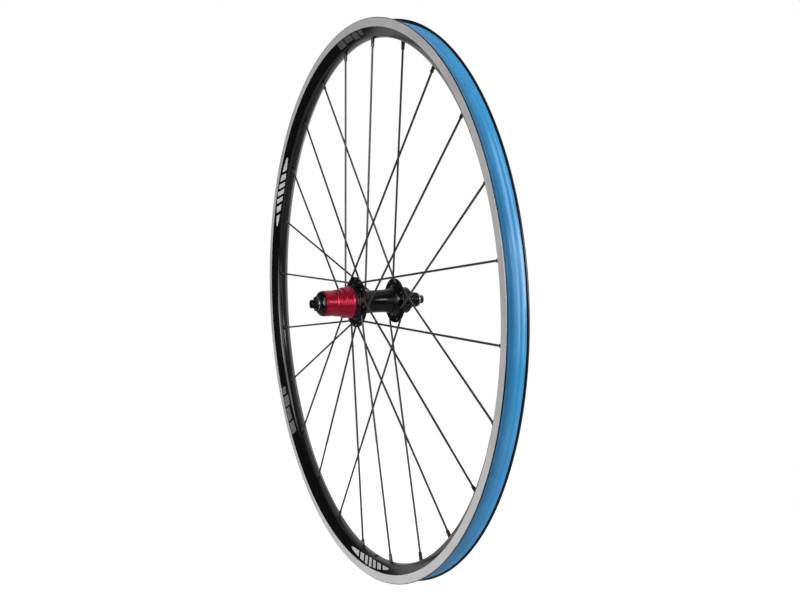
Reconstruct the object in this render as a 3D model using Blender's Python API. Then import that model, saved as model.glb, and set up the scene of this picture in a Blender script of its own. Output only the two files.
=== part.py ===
"""Rear wheel of a road bicycle, 700C, laced two to one onto a hub with a stepped freehub.

The constants are in millimetres and degrees, and MM turns them into the scene's metres. The axle lies
along Y with the drive side at -Y, and the origin is the wheel's centre. Angles start at the top (+Z)
and run towards +X, which is the way the wheel turns as it rolls forward.
"""

import math

import bmesh
import bpy
from mathutils import Vector

MM = 0.001

# Rim
RIM_RADIUS = 316.5
RIM_HALF_WIDTH = 12.0
TRACK_INNER_RADIUS = 306.5
RIM_INNER_RADIUS = 295.7
RIM_SEGMENTS = 48
BED_RADIUS = 308.2
CHAMBER_TOP_RADIUS = 306.4
CHAMBER_BOTTOM_RADIUS = 297.6
VALVE_ANGLE = 175.5
VALVE_HOLE_RADIUS = 3.3
ACCESS_HOLE_RADIUS = 3.6
NIPPLE_HOLE_RADIUS = 2.6
TAPE_THICKNESS = 0.8

# Spokes and nipples
SPOKE_COUNT = 24
SPOKE_PITCH = 360 / SPOKE_COUNT
FIRST_SPOKE_ANGLE = 3.0 - SPOKE_PITCH
SPOKE_RADIUS = 1.0
SPOKE_SIDES = 6
ELBOW_RADIUS = 1.6
ELBOW_OFFSET = 2.9
HEAD_RADIUS = 1.8
HEAD_LENGTH = 0.9
NIPPLE_RADIUS = 2.0
NIPPLE_HEAD_RADIUS = 2.8
NIPPLE_START = 286.8
NIPPLE_END = 301.0

# Flanges: plane, hole circle, holes, angle of one hole, and the lead of a spoke from rim to hub
FLANGE_THICKNESS = 2.6
FLANGE_HOLE_RADIUS = 1.45
DRIVE_PLANE = -15.3
DRIVE_HOLE_CIRCLE = 26.3
DRIVE_HOLES = 16
DRIVE_HOLE_ANGLE = 6.75
DRIVE_LEAD = 48.75
DRIVE_FLANGE_RADIUS = 29.0
LEFT_PLANE = 34.4
LEFT_HOLE_CIRCLE = 23.0
LEFT_HOLES = 8
LEFT_HOLE_ANGLE = 18.0
LEFT_LEAD = 45.0
LEFT_FLANGE_RADIUS = 26.0

# Axle and what stands on it
SHAFT_RADIUS = 7.4
SHOULDER_RADIUS = 9.0
SKEWER_BORE = 3.1
NOSE_RADIUS = 4.95
NOSE_END = 70.5
DROPOUT_FACE = 65.0
GAP = 0.3
SLEEVE_BORE = SHAFT_RADIUS + GAP
HUB_SEGMENTS = 32
SMALL_SEGMENTS = 20
HOLE_SIDES = 6

# Bearings: outer radius, width, face nearer the drive side, number of balls
DRIVE_BEARING = (13.0, 7.0, -13.7, 8)
LEFT_BEARING = (13.0, 7.0, 41.5, 8)
FREEHUB_OUTER_BEARING = (12.0, 5.0, -56.0, 8)
FREEHUB_INNER_BEARING = (10.5, 4.0, -26.9, 8)
RACE_SHARE = 0.2
BALL_CLEARANCE = 0.35

# Ratchet
TEETH = 24
TOOTH_ROOT = 15.6
TOOTH_TIP = 14.4
TOOTH_FACE_ANGLE = 4.04
RATCHET_OUTER = 17.0
CARRIER_RADIUS = 13.6
PAWLS = 3
PAWL_PIVOT = (-5.63, 10.6)
PAWL_KNUCKLE = 1.3
PAWL_SPAN = (-19.4, -16.9)
POCKET_SPAN = (-19.7, -16.6)
SPRING_RADIUS = 13.1
SPRING_WIRE = 0.25
SPRING_PLANE = -15.45


def clear_scene():
    for obj in list(bpy.data.objects):
        bpy.data.objects.remove(obj, do_unlink=True)


def material(name, colour, roughness, metallic=0.0):
    made = bpy.data.materials.new(name)
    made.use_nodes = True
    shader = made.node_tree.nodes["Principled BSDF"]
    shader.inputs["Base Color"].default_value = (*colour, 1.0)
    shader.inputs["Roughness"].default_value = roughness
    shader.inputs["Metallic"].default_value = metallic
    return made


def polar(radius, angle, y=0.0):
    turned_by = math.radians(angle)
    return Vector((radius * math.sin(turned_by), y, radius * math.cos(turned_by)))


def finished(name, bm, finish, parent=None, location=(0.0, 0.0, 0.0)):
    """Closes the bmesh into an object of its own, in metres, with its finish and parent."""
    bmesh.ops.recalc_face_normals(bm, faces=bm.faces)
    bmesh.ops.scale(bm, vec=(MM, MM, MM), verts=bm.verts)
    mesh = bpy.data.meshes.new(name)
    bm.to_mesh(mesh)
    bm.free()
    mesh.shade_smooth()
    mesh.set_sharp_from_angle(angle=math.radians(35))
    obj = bpy.data.objects.new(name, mesh)
    bpy.context.collection.objects.link(obj)
    obj.location = Vector(location) * MM
    if finish:
        mesh.materials.append(finish)
    if parent:
        obj.parent = parent
    return obj


def turned(name, outline, finish, parent=None, segments=SMALL_SEGMENTS, start=0.0):
    """A ring turned about the axle from a closed outline of (y, radius) points."""
    bm = bmesh.new()
    verts = [bm.verts.new(polar(radius, start, y)) for y, radius in outline]
    edges = [bm.edges.new((verts[i - 1], verts[i])) for i in range(len(verts))]
    bmesh.ops.spin(
        bm,
        geom=verts + edges,
        cent=(0, 0, 0),
        axis=(0, 1, 0),
        angle=math.tau,
        steps=segments,
        use_merge=True,
    )
    return finished(name, bm, finish, parent)


def sleeve(name, y_low, y_high, inner, outer, finish, parent, segments=SMALL_SEGMENTS):
    outline = [(y_low, inner), (y_low, outer), (y_high, outer), (y_high, inner)]
    return turned(name, outline, finish, parent, segments)


def flat_ring(name, inner, outer, y_low, y_high, finish=None, parent=None):
    """A flat ring between two polar outlines with as many (radius, angle) points each."""
    bm = bmesh.new()
    loops = [
        [bm.verts.new(polar(radius, angle, y)) for radius, angle in outline]
        for outline, y in ((inner, y_low), (inner, y_high), (outer, y_high), (outer, y_low))
    ]
    for k, loop in enumerate(loops):
        following = loops[(k + 1) % len(loops)]
        for i in range(len(loop)):
            bm.faces.new((loop[i - 1], loop[i], following[i], following[i - 1]))
    return finished(name, bm, finish, parent)


def add_prism(bm, corners, y_low, y_high):
    """Adds a closed prism along Y over a flat outline of (x, z) corners."""
    low = [bm.verts.new((x, y_low, z)) for x, z in corners]
    high = [bm.verts.new((x, y_high, z)) for x, z in corners]
    bm.faces.new(low)
    bm.faces.new(high)
    for i in range(len(corners)):
        bm.faces.new((low[i - 1], low[i], high[i], high[i - 1]))


def add_tube(bm, path, radii, sides):
    """Adds a closed tube along a path, with a radius for each of its points."""
    rings = []
    across = None
    for i, point in enumerate(path):
        ahead = path[min(i + 1, len(path) - 1)] - path[max(i - 1, 0)]
        ahead.normalize()
        if across is None:
            across = ahead.orthogonal()
        across = (across - ahead * across.dot(ahead)).normalized()
        up = ahead.cross(across)
        ring = []
        for side in range(sides):
            turn = math.tau * side / sides
            offset = across * math.cos(turn) + up * math.sin(turn)
            ring.append(bm.verts.new(point + offset * radii[i]))
        rings.append(ring)
    for low, high in zip(rings, rings[1:]):
        for side in range(sides):
            bm.faces.new((low[side - 1], low[side], high[side], high[side - 1]))
    bm.faces.new(rings[0])
    bm.faces.new(rings[-1])


def combine(obj, other, operation):
    """Cuts or joins a helper shape, which stays out of the model."""
    other.hide_render = True
    other.display_type = "WIRE"
    modifier = obj.modifiers.new(other.name, "BOOLEAN")
    modifier.operation = operation
    modifier.solver = "EXACT"
    modifier.object = other


def hole_cutter(name, radius, sides, ends):
    """One cutter with a straight hole between each pair of end points."""
    bm = bmesh.new()
    for start, end in ends:
        add_tube(bm, [start, end], [radius, radius], sides)
    return finished(name, bm, None)


def spoke_angle(number):
    return FIRST_SPOKE_ANGLE + SPOKE_PITCH * (number - 1)


def spoke_ends(number):
    """The hub hole, the flange's plane, the side the elbow is on, and the rim point of a spoke."""
    angle = spoke_angle(number)
    if number % 3 == 1:
        hub = (DRIVE_HOLE_CIRCLE, angle - DRIVE_LEAD, DRIVE_PLANE, -1)
    elif number % 3 == 2:
        hub = (DRIVE_HOLE_CIRCLE, angle + DRIVE_LEAD, DRIVE_PLANE, 1)
    elif number % 6 == 3:
        hub = (LEFT_HOLE_CIRCLE, angle - LEFT_LEAD, LEFT_PLANE, 1)
    else:
        hub = (LEFT_HOLE_CIRCLE, angle + LEFT_LEAD, LEFT_PLANE, -1)
    circle, hub_angle, plane, side = hub
    rim_point = polar((RIM_INNER_RADIUS + CHAMBER_BOTTOM_RADIUS) / 2, angle)
    return polar(circle, hub_angle, plane), side, rim_point


def spoke_path(number):
    """Points and radii from the spoke's head, round its elbow, to the outer end of its nipple."""
    hole, side, rim_point = spoke_ends(number)
    out = Vector((0, side, 0))
    elbow = hole + out * ELBOW_OFFSET
    along = (rim_point - elbow).normalized()
    bend = out.angle(along)
    inward = (along - out * along.dot(out)).normalized()
    centre = elbow - out * ELBOW_RADIUS * math.tan(bend / 2) + inward * ELBOW_RADIUS
    head = hole - out * (FLANGE_THICKNESS / 2 + GAP)
    path = [head - out * HEAD_LENGTH, head, head + out * GAP / 2]
    radii = [HEAD_RADIUS, HEAD_RADIUS, SPOKE_RADIUS]
    for share in (0.0, 0.5, 1.0):
        turn = bend * share
        path.append(centre + (out * math.sin(turn) - inward * math.cos(turn)) * ELBOW_RADIUS)
        radii.append(SPOKE_RADIUS)
    seat = rim_point + along * (CHAMBER_BOTTOM_RADIUS - RIM_INNER_RADIUS) / 2 + along * 2 * GAP
    for radius, wide in (
        (NIPPLE_START, SPOKE_RADIUS),
        (NIPPLE_START + GAP, NIPPLE_RADIUS),
    ):
        path.append(rim_point + along * (radius - rim_point.length))
        radii.append(wide)
    path += [seat, seat + along * GAP, rim_point + along * (NIPPLE_END - rim_point.length)]
    radii += [NIPPLE_RADIUS, NIPPLE_HEAD_RADIUS, NIPPLE_HEAD_RADIUS]
    return path, radii


def make_spokes(finish, parent):
    for number in range(1, SPOKE_COUNT + 1):
        bm = bmesh.new()
        path, radii = spoke_path(number)
        add_tube(bm, path, radii, SPOKE_SIDES)
        finished(f"spoke_{number:02d}", bm, finish, parent)


def mirrored(half):
    """A closed outline from its half at y >= 0, listed from the mid-plane out and back."""
    return half + [(-y, radius) for y, radius in reversed(half) if y > 0]


def make_rim(finish, parent):
    start = FIRST_SPOKE_ANGLE + 180 / RIM_SEGMENTS
    hook = RIM_HALF_WIDTH - 1.9
    half = [
        (0.0, BED_RADIUS),
        (7.4, BED_RADIUS + 2.4),
        (hook, BED_RADIUS + 2.9),
        (hook, RIM_RADIUS - 0.4),
        (hook + 0.7, RIM_RADIUS),
        (RIM_HALF_WIDTH, RIM_RADIUS - 0.6),
        (RIM_HALF_WIDTH, TRACK_INNER_RADIUS),
        (8.2, 301.0),
        (5.0, 297.0),
        (0.0, RIM_INNER_RADIUS),
    ]
    rim = turned("rim", mirrored(half), finish, parent, RIM_SEGMENTS, start)
    half_chamber = [
        (0.0, CHAMBER_TOP_RADIUS),
        (10.0, CHAMBER_TOP_RADIUS + 1.6),
        (10.2, TRACK_INNER_RADIUS - 0.1),
        (6.9, 301.8),
        (4.3, CHAMBER_BOTTOM_RADIUS + 0.8),
        (3.4, CHAMBER_BOTTOM_RADIUS + 0.1),
        (0.0, CHAMBER_BOTTOM_RADIUS),
    ]
    chamber = turned("rim_chamber", mirrored(half_chamber), None, None, RIM_SEGMENTS, start)
    combine(rim, chamber, "DIFFERENCE")
    nipple_holes = []
    access_holes = []
    for number in range(1, SPOKE_COUNT + 1):
        _, _, rim_point = spoke_ends(number)
        outward = rim_point.normalized()
        nipple_holes.append((rim_point - outward * 4, rim_point + outward * 5))
        access_holes.append((outward * (CHAMBER_TOP_RADIUS - 2), outward * (BED_RADIUS + 2)))
    combine(rim, hole_cutter("nipple_holes", NIPPLE_HOLE_RADIUS, HOLE_SIDES, nipple_holes), "DIFFERENCE")
    combine(rim, hole_cutter("access_holes", ACCESS_HOLE_RADIUS, HOLE_SIDES, access_holes), "DIFFERENCE")
    combine(rim, valve_cutter("rim_valve_hole"), "DIFFERENCE")
    return rim


def valve_cutter(name):
    ends = (polar(RIM_INNER_RADIUS - 4, VALVE_ANGLE), polar(RIM_RADIUS, VALVE_ANGLE))
    return hole_cutter(name, VALVE_HOLE_RADIUS, 10, [ends])


def make_tape(finish, parent):
    start = FIRST_SPOKE_ANGLE + 180 / RIM_SEGMENTS
    under = [(0.0, BED_RADIUS + GAP), (7.4, BED_RADIUS + 2.4 + GAP), (9.7, BED_RADIUS + 2.9 + GAP)]
    over = [(y, radius + TAPE_THICKNESS) for y, radius in reversed(under)]
    tape = turned("rim_tape", mirrored(under + over), finish, parent, RIM_SEGMENTS, start)
    combine(tape, valve_cutter("tape_valve_hole"), "DIFFERENCE")
    return tape


def flange_holes():
    ends = []
    for plane, circle, count, angle in (
        (DRIVE_PLANE, DRIVE_HOLE_CIRCLE, DRIVE_HOLES, DRIVE_HOLE_ANGLE),
        (LEFT_PLANE, LEFT_HOLE_CIRCLE, LEFT_HOLES, LEFT_HOLE_ANGLE),
    ):
        for i in range(count):
            centre = polar(circle, angle + 360 / count * i, plane)
            reach = Vector((0, FLANGE_THICKNESS, 0))
            ends.append((centre - reach, centre + reach))
    return ends


def make_hub_shell(finish, parent):
    half_flange = FLANGE_THICKNESS / 2
    outline = [
        (-20.7, 17.3),
        (-20.7, 18.6),
        (DRIVE_PLANE - half_flange - 0.5, 19.6),
        (DRIVE_PLANE - half_flange, 21.0),
        (DRIVE_PLANE - half_flange, DRIVE_FLANGE_RADIUS),
        (DRIVE_PLANE + half_flange, DRIVE_FLANGE_RADIUS),
        (DRIVE_PLANE + half_flange, 22.6),
        (-11.6, 18.0),
        (-7.0, 15.4),
        (-1.0, 13.6),
        (8.0, 13.0),
        (18.0, 13.2),
        (27.0, 14.2),
        (31.2, 15.8),
        (LEFT_PLANE - half_flange, 18.6),
        (LEFT_PLANE - half_flange, LEFT_FLANGE_RADIUS),
        (LEFT_PLANE + half_flange, LEFT_FLANGE_RADIUS),
        (LEFT_PLANE + half_flange, 17.6),
        (37.4, 16.0),
        (39.4, 15.9),
        (40.2, 15.2),
        (48.8, 15.2),
        (50.5, 14.4),
        (50.5, 13.3),
        (41.2, 13.3),
        (41.2, 10.5),
        (-6.4, 10.5),
        (-6.4, 13.3),
        (-14.3, 13.3),
        (-14.3, 17.3),
    ]
    shell = turned("hub_shell", outline, finish, parent, HUB_SEGMENTS, LEFT_HOLE_ANGLE)
    combine(shell, hole_cutter("flange_holes", FLANGE_HOLE_RADIUS, HOLE_SIDES, flange_holes()), "DIFFERENCE")
    return shell


def make_bearing(name, numbers, finishes, parents):
    """The inner race, outer race and ball cage of a cartridge bearing, each its own object."""
    outer, width, y_low, balls = numbers
    steel, brass = finishes
    inner_parent, outer_parent, cage_parent = parents
    y_high = y_low + width
    section = outer - SLEEVE_BORE
    race = section * RACE_SHARE
    ball = section / 2 - race - BALL_CLEARANCE
    inner_top = SLEEVE_BORE + race
    sleeve(f"{name}_inner_race", y_low, y_high, SLEEVE_BORE, inner_top, steel, inner_parent)
    sleeve(f"{name}_outer_race", y_low, y_high, outer - race, outer, steel, outer_parent)
    middle = SLEEVE_BORE + section / 2
    y_mid = (y_low + y_high) / 2
    cage_name = f"{name}_ball_cage"
    low = middle - ball / 2
    cage = sleeve(cage_name, y_mid - ball, y_mid + ball / 4, low, low + ball, brass, cage_parent)
    bm = bmesh.new()
    for i in range(balls):
        made = bmesh.ops.create_icosphere(bm, subdivisions=1, radius=ball)
        bmesh.ops.translate(bm, vec=polar(middle, 360 / balls * i, y_mid), verts=made["verts"])
    combine(cage, finished(f"{name}_balls", bm, None), "UNION")


def make_axle_set(silver, black, steel, parent):
    bore = SKEWER_BORE
    axle = [
        (-64.2, bore),
        (-64.2, 4.4),
        (-61.4, 4.4),
        (-61.4, SHAFT_RADIUS),
        (-6.4, SHAFT_RADIUS),
        (-6.4, SHOULDER_RADIUS),
        (41.2, SHOULDER_RADIUS),
        (41.2, SHAFT_RADIUS),
        (61.0, SHAFT_RADIUS),
        (61.0, NOSE_RADIUS),
        (NOSE_END - 0.5, NOSE_RADIUS),
        (NOSE_END, NOSE_RADIUS - 0.5),
        (NOSE_END, bore),
    ]
    turned("axle", axle, silver, parent)
    drive_cap = [
        (-NOSE_END, bore),
        (-NOSE_END, NOSE_RADIUS - 0.5),
        (-NOSE_END + 0.5, NOSE_RADIUS),
        (-DROPOUT_FACE, NOSE_RADIUS),
        (-DROPOUT_FACE, 8.0),
        (-DROPOUT_FACE + 0.3, 8.3),
        (-63.8, 8.3),
        (-63.8, 6.0),
        (-61.7, 6.0),
        (-61.7, 4.4 + GAP),
        (-64.5, 4.4 + GAP),
        (-64.5, bore),
    ]
    turned("drive_end_cap", drive_cap, black, parent)
    sleeve("drive_locknut", -63.5, -61.7, 6.0 + GAP, 7.9, silver, parent)
    sleeve("drive_spacer", -61.2, -56.3, SLEEVE_BORE, 8.8, black, parent)
    sleeve("freehub_spacer", -50.7, -27.2, SLEEVE_BORE, 9.0, steel, parent)
    sleeve("hub_spacer", -22.6, -14.0, SLEEVE_BORE, 9.0, steel, parent)
    left_cap = [
        (48.8, SLEEVE_BORE),
        (48.8, 8.9),
        (51.8, 8.9),
        (52.6, 10.4),
        (54.6, 10.4),
        (55.4, 8.6),
        (58.2, 8.6),
        (58.4, 8.1),
        (59.0, 8.1),
        (59.2, 8.6),
        (62.6, 8.6),
        (62.9, 8.3),
        (62.9, NOSE_RADIUS + GAP),
        (61.3, NOSE_RADIUS + GAP),
        (61.3, SLEEVE_BORE),
    ]
    turned("left_end_cap", left_cap, black, parent)
    sleeve("left_locknut", 63.2, DROPOUT_FACE, NOSE_RADIUS + GAP, 7.6, silver, parent)


def pawl_corners():
    """The pawl's outline as (across, out) from the axle, its tip in the tooth gap at angle 0."""
    x, z = PAWL_PIVOT
    corners = [(-0.01, 15.14), (0.94, 13.98)]
    for direction in (300, 255, 210, 165, 120):
        turn = math.radians(direction)
        corners.append((x + PAWL_KNUCKLE * math.cos(turn), z + PAWL_KNUCKLE * math.sin(turn)))
    corners.append((-2.57, 13.83))
    return corners


def pocket_corners():
    """The room that a pawl folds into, open at the carrier's outside."""
    return [
        (2.3, 12.2),
        (1.7, 11.97),
        (-5.13, 9.03),
        (-6.6, 9.25),
        (-7.45, 10.4),
        (-7.6, 12.6),
        (-3.0, 16.0),
        (2.4, 16.0),
    ]


def turned_by(corners, angle):
    """The (across, out) corners turned about the axle, towards forward roll."""
    turn = math.radians(angle)
    cosine = math.cos(turn)
    sine = math.sin(turn)
    return [(x * cosine + z * sine, z * cosine - x * sine) for x, z in corners]


def make_ratchet(steel, parent):
    pitch = 360 / TEETH
    inner = []
    for tooth in range(TEETH):
        inner.append((TOOTH_ROOT, pitch * tooth))
        inner.append((TOOTH_TIP, pitch * tooth + TOOTH_FACE_ANGLE))
    outer = [(RATCHET_OUTER, angle) for _, angle in inner]
    flat_ring("ratchet_ring", inner, outer, -19.6, -15.0, steel, parent)


def make_pawls(steel, parent):
    for number in range(1, PAWLS + 1):
        angle = 360 / PAWLS * (number - 1)
        (x, z), = turned_by([PAWL_PIVOT], angle)
        bm = bmesh.new()
        corners = [(a - x, b - z) for a, b in turned_by(pawl_corners(), angle)]
        add_prism(bm, corners, *PAWL_SPAN)
        finished(f"pawl_{number}", bm, steel, parent, (x, 0.0, z))


def make_pawl_spring(steel, parent):
    bm = bmesh.new()
    path = [polar(SPRING_RADIUS, 20 + 12 * i, SPRING_PLANE) for i in range(28)]
    add_tube(bm, path, [SPRING_WIRE] * len(path), 4)
    finished("pawl_spring", bm, steel, parent)


def make_freehub(red, black, parent):
    body = [
        (-56.0, 12.3),
        (-56.0, 14.3),
        (-55.6, 14.6),
        (-42.2, 14.6),
        (-42.0, 15.0),
        (-41.0, 15.0),
        (-40.8, 14.2),
        (-38.6, 14.2),
        (-38.2, 15.5),
        (-33.2, 15.5),
        (-33.2, 17.3),
        (-32.8, 17.6),
        (-24.6, 17.6),
        (-24.2, 18.4),
        (-21.3, 18.4),
        (-21.3, CARRIER_RADIUS),
        (-16.1, CARRIER_RADIUS),
        (-16.1, SPRING_RADIUS - 0.6),
        (-14.9, SPRING_RADIUS - 0.6),
        (-14.9, CARRIER_RADIUS - 0.3),
        (-14.6, CARRIER_RADIUS - 0.6),
        (-14.6, 9.4),
        (-22.6, 9.4),
        (-22.6, 10.8),
        (-50.7, 10.8),
        (-50.7, 12.3),
    ]
    freehub = turned("freehub_body", body, red, parent, 24)
    bm = bmesh.new()
    for number in range(PAWLS):
        add_prism(bm, turned_by(pocket_corners(), 360 / PAWLS * number), *POCKET_SPAN)
    combine(freehub, finished("pawl_pockets", bm, None), "DIFFERENCE")
    end_ring = [
        (-61.8, 9.2),
        (-61.8, 9.9),
        (-60.4, 12.4),
        (-58.6, 13.9),
        (-57.6, 14.3),
        (-56.3, 14.3),
        (-56.3, 9.2),
    ]
    turned("freehub_end_ring", end_ring, black, parent)


def empty(name, parent=None):
    made = bpy.data.objects.new(name, None)
    bpy.context.collection.objects.link(made)
    made.parent = parent
    return made


def main():
    clear_scene()
    black = material("anodised_black", (0.012, 0.012, 0.013), 0.3, 0.6)
    silver = material("machined_silver", (0.72, 0.72, 0.74), 0.25, 1.0)
    steel = material("bearing_steel", (0.5, 0.5, 0.52), 0.25, 1.0)
    brass = material("cage_brass", (0.55, 0.38, 0.12), 0.35, 1.0)
    red = material("anodised_red", (0.5, 0.01, 0.03), 0.25, 0.8)
    blue = material("tape_blue", (0.03, 0.25, 0.62), 0.45)
    dark = material("spoke_black", (0.03, 0.03, 0.032), 0.35, 0.6)
    rubber = material("seal_rubber", (0.02, 0.02, 0.02), 0.7)

    fixed = empty("axle_frame")
    wheel = empty("wheel_pivot", fixed)
    freehub = empty("freehub_pivot", wheel)
    hub_balls = empty("hub_ball_pivot", fixed)
    freehub_balls = empty("freehub_ball_pivot", fixed)

    make_axle_set(silver, black, steel, fixed)
    make_hub_shell(black, wheel)
    make_rim(black, wheel)
    make_tape(blue, wheel)
    make_spokes(dark, wheel)
    make_ratchet(steel, wheel)
    sleeve("freehub_seal", -20.6, -19.9, CARRIER_RADIUS + 0.4, RATCHET_OUTER, rubber, wheel)
    sleeve("left_dust_cap", 48.9, 50.3, 9.3, 13.0, black, wheel)
    make_freehub(red, black, freehub)
    make_pawls(steel, freehub)
    make_pawl_spring(steel, freehub)

    metals = (steel, brass)
    on_wheel = (fixed, wheel, hub_balls)
    on_freehub = (fixed, freehub, freehub_balls)
    make_bearing("drive_bearing", DRIVE_BEARING, metals, on_wheel)
    make_bearing("left_bearing", LEFT_BEARING, metals, on_wheel)
    make_bearing("freehub_outer_bearing", FREEHUB_OUTER_BEARING, metals, on_freehub)
    make_bearing("freehub_inner_bearing", FREEHUB_INNER_BEARING, metals, on_freehub)


main()
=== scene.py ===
"""Looks of the road bicycle rear wheel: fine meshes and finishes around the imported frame.

Lengths are in millimetres and angles in degrees until MM turns them into metres. The axle lies along Y
with the drive side at -Y. Angles start at the top (+Z) and run towards +X, as the wheel rolls forward.
"""

import math

import bmesh
import bpy
import numpy as np
from mathutils import Matrix, Vector, noise


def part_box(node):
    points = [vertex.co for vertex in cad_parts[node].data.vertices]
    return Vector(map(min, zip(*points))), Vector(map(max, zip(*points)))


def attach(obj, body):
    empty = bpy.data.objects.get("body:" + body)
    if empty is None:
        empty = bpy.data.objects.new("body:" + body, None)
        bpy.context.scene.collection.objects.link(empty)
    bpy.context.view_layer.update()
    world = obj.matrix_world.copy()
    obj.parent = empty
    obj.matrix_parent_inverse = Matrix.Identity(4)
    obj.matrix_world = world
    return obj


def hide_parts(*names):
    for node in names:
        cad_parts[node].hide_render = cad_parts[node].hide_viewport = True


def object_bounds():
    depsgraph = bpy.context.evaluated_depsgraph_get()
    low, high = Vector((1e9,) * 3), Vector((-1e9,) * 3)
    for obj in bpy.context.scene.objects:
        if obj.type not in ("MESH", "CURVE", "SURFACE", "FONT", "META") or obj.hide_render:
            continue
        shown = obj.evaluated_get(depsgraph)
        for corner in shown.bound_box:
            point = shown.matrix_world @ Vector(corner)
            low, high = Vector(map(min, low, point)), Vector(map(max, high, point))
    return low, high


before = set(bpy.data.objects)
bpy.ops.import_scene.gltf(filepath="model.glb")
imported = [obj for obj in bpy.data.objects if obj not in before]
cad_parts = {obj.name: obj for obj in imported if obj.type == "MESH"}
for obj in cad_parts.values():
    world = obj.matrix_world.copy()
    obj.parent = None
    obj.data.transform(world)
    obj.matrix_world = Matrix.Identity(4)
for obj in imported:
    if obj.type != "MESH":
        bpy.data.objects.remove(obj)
CAD_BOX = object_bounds()

MM = 0.001
SHARP_ANGLE = 38


def span_mm(node):
    """The lowest and highest corner of a CAD node, in millimetres."""
    low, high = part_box(node)
    return low / MM, high / MM


# Rim: its width comes from the frame, its section from the same radii as the frame's
RIM_HALF_WIDTH = span_mm("rim")[1].y
RIM_RADIUS = 316.5
TRACK_DEPTH = 0.18
TRACK_RADII = (306.5, 315.8)
BED_RADIUS = 308.2
CREASE = (5.2, 297.1)
CROWN_RADIUS = 295.7
CHAMBER_BOTTOM = 297.6
CHAMBER_TOP = 306.4
RIM_SEGMENTS = 360

# The rim's bed: how high it is above its middle, at a distance from the mid-plane
BED_SHAPE = (
    (0.0, 0.0),
    (2.0, 0.3),
    (3.5, 1.0),
    (4.8, 2.0),
    (5.5, 2.35),
    (6.3, 2.3),
    (7.2, 2.4),
    (8.2, 3.0),
    (9.1, 3.9),
    (9.7, 4.7),
    (10.15, 5.4),
)
VALVE_ANGLE = 175.5
VALVE_HOLE_RADIUS = 3.3

# Tape: depth and reach of each dimple, the angles where its ends overlap, and the angle, the reach
# and the depth of the stretch where its left edge runs low
TAPE_SEGMENTS = 1440
TAPE_STEPS = 40
TAPE_THICKNESS = 0.7
TAPE_GAP = 0.35
TAPE_HALF_WIDTH = 9.95
TAPE_DIMPLE = (0.25, 2.7)
TAPE_OVERLAP = (200.0, 211.0)
TAPE_LAP = 0.3
TAPE_LOW_EDGE = (13.0, 8.0, 1.1)

# Spokes, placed as in the frame. SPOKE_HEAD lists distances behind the flange's hole with radii
SPOKE_COUNT = 24
SPOKE_PITCH = 360 / SPOKE_COUNT
FIRST_SPOKE_ANGLE = 3.0 - SPOKE_PITCH
SPOKE_RADIUS = 1.16
SPOKE_SIDES = 16
ELBOW_RADIUS = 1.6
ELBOW_OFFSET = 2.9
ELBOW_STEPS = 8
SPOKE_HEAD = ((0.95, 0.4), (0.9, 1.05), (0.72, 1.5), (0.4, 1.75), (0.12, 1.75), (0.0, 1.6))
NIPPLE_START = 286.8
NIPPLE_END = 301.0
NIPPLE_RADIUS = 2.0
NIPPLE_FLAT = 1.62
NIPPLE_SIDES = 32
NIPPLE_HOLE_RADIUS = 2.6

# Flanges: the plane, the radius of the hole circle, the number of holes, and the angle of one hole
FLANGE_HALF = 1.3
DRIVE_FLANGE = (-15.3, 26.3, 16, 6.75)
LEFT_FLANGE = (34.4, 23.0, 8, 18.0)
DRIVE_FLANGE_RADIUS = 29.0
LEFT_FLANGE_RADIUS = 26.0

# How far each spoke's hub hole is turned from its rim hole
DRIVE_LEAD = 48.75
LEFT_LEAD = 45.0

HUB_SEGMENTS = 192
RING_SEGMENTS = 128
KNURLED_SEGMENTS = 384
FREEHUB_SEGMENTS = 720
KNURL_PITCH = 7.5
KNURL_DEPTH = 0.32

# Hub ends, from the frame
AXLE_END = span_mm("axle")[1].y
DRIVE_END = span_mm("drive_end_cap")[0].y
LEFT_FACE = span_mm("left_locknut")[1].y
SKEWER_BORE = 3.1
NOSE_RADIUS = 4.95
SHAFT_BORE = 7.7

# Freehub splines, and the pockets that the pawls fold into
SPLINES = 9
SPLINE_SPAN = (-55.2, -42.7)
SPLINE_DEPTH = 0.35
SPLINE_SHARE = 0.22
POCKET_SPAN = (-19.7, -16.6)
POCKET_CORNERS = (
    (2.3, 12.2),
    (1.7, 11.97),
    (-5.13, 9.03),
    (-6.6, 9.25),
    (-7.45, 10.4),
    (-7.6, 12.6),
    (-3.0, 16.0),
    (2.4, 16.0),
)

# Generic graphics on the sidewalls: the middle of the first of three, and half the arc of each.
# Bars start and end at degrees from the middle, and blocks at shares of half the arc, with a width
LIGHT_GRAPHIC = (175.9, 10.2)
LIGHT_BARS = ((-9.9, -6.9), (-5.9, -4.1), (-3.2, -1.9), (-1.1, 0.2), (1.0, 2.3), (3.1, 4.9), (5.8, 9.9))
DULL_GRAPHIC = (235.2, 6.6)
DULL_BLOCKS = ((-1.0, -0.5, 0.7), (-0.42, 0.12, 0.55), (0.2, 0.62, 0.7), (0.7, 1.0, 0.5))
GRAPHIC_REPEATS = 3
FILM = 0.06

# Camera and floor, in metres
CAMERA_PLACE = (1.0250, -0.4642, 0.1052)
CAMERA_LOOK = (-0.8930, 0.4405, -0.0915)
CAMERA_LENS = 43.96
FLOOR_RADIUS = 0.62
FLOOR_SIDES = 64
FLOOR_GLOW = 0.85

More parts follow.
